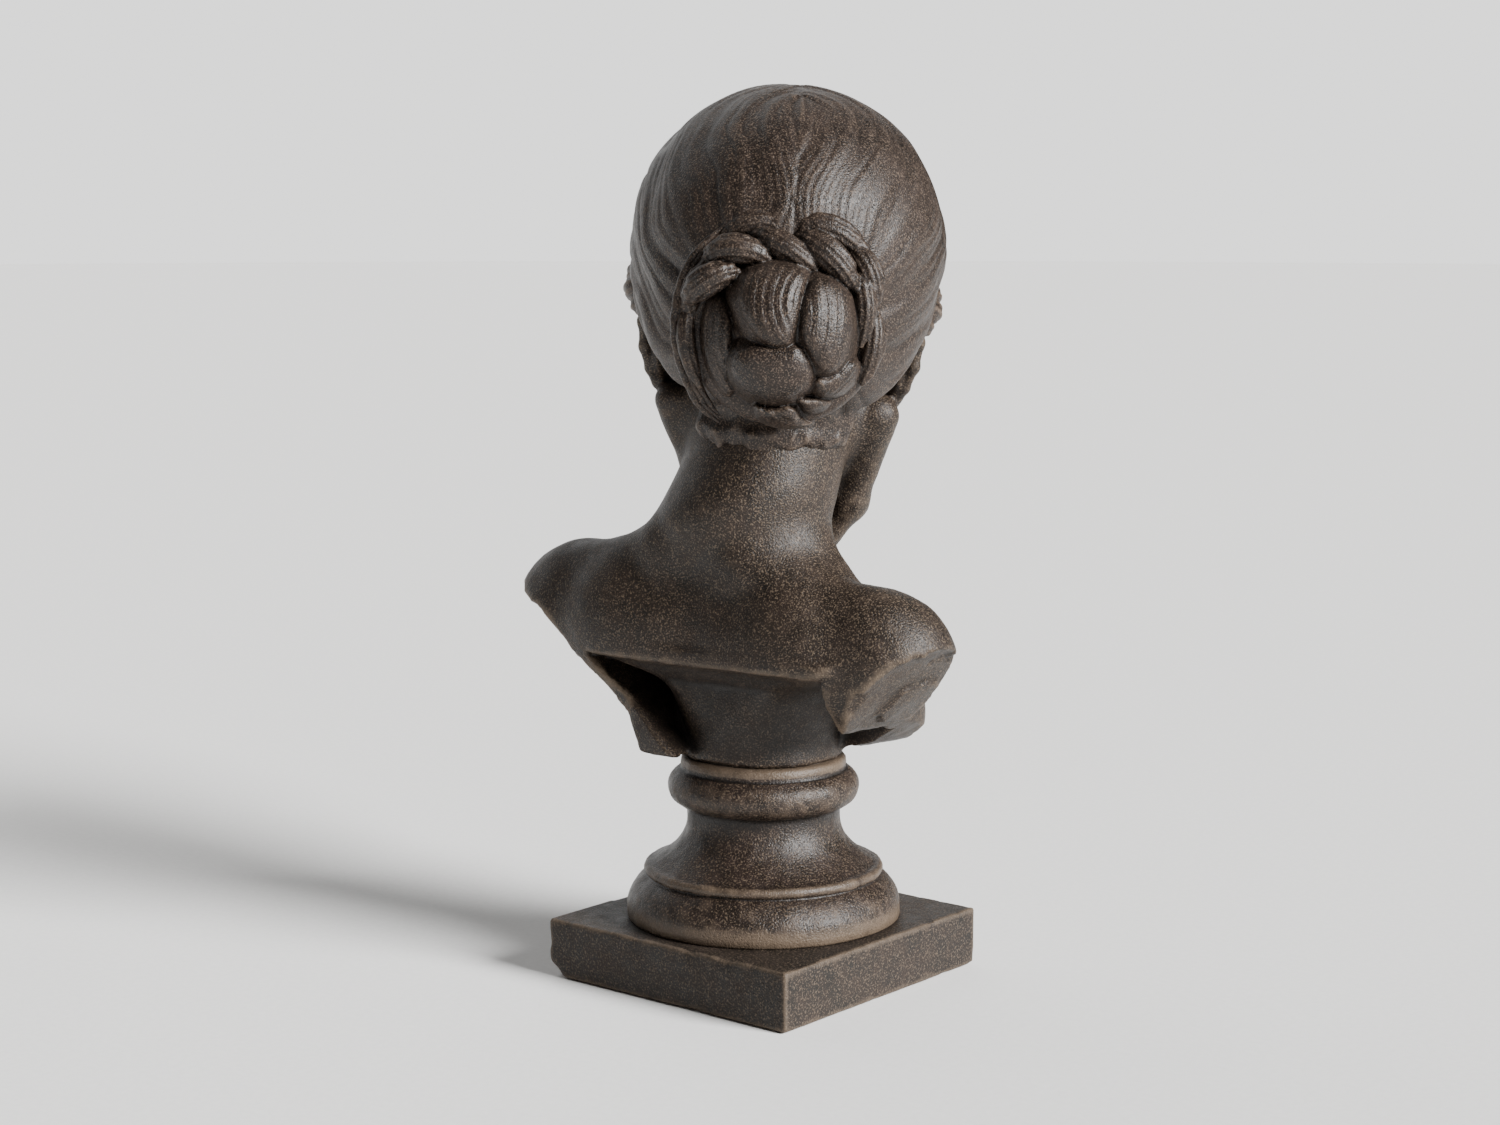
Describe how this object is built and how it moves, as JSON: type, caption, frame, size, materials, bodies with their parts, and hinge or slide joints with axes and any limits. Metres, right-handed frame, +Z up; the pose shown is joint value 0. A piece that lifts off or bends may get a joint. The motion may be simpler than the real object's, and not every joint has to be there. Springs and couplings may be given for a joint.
{
  "type": "portrait bust",
  "caption": "Dark cast-stone bust of a woman with a braided chignon, on a turned round socle and a square plinth.",
  "frame": {"origin": "centre of the underside of the felt, on the surface that the bust stands on", "axes": "+Z up, the chest faces -Y, +X is the sitter's left, towards which the head is turned"},
  "size_m": [0.2701, 0.2267, 0.4997],
  "materials": {
    "felt": "black needled felt",
    "plinth_stone": "cast stone, dark iron-brown patina, sandy grain, chipped upper edges",
    "socle_stone": "cast stone, dark iron-brown patina, waxed, worn on the mouldings",
    "bust_stone": "cast stone, dark iron-brown patina, waxed satin on the raised hair, sandy grain on the skin",
    "cement": "grey-brown bedding cement",
    "dowel_steel": "plain steel bar",
    "zinc_steel": "zinc-plated steel",
    "anchor_brass": "turned brass insert"
  },
  "bodies": {
    "root": {"base_felt": "felt", "plinth": "plinth_stone", "lower_bed": "cement", "socle": "socle_stone", "upper_bed": "cement", "bust": "bust_stone", "chignon": "bust_stone", "chignon_pin": "dowel_steel", "tie_rod": "zinc_steel", "rod_anchor": "anchor_brass", "rod_nut": "zinc_steel", "lock_washer": "zinc_steel", "washer": "zinc_steel", "lower_dowels": "dowel_steel", "upper_dowels": "dowel_steel"}
  },
  "joints": []
}
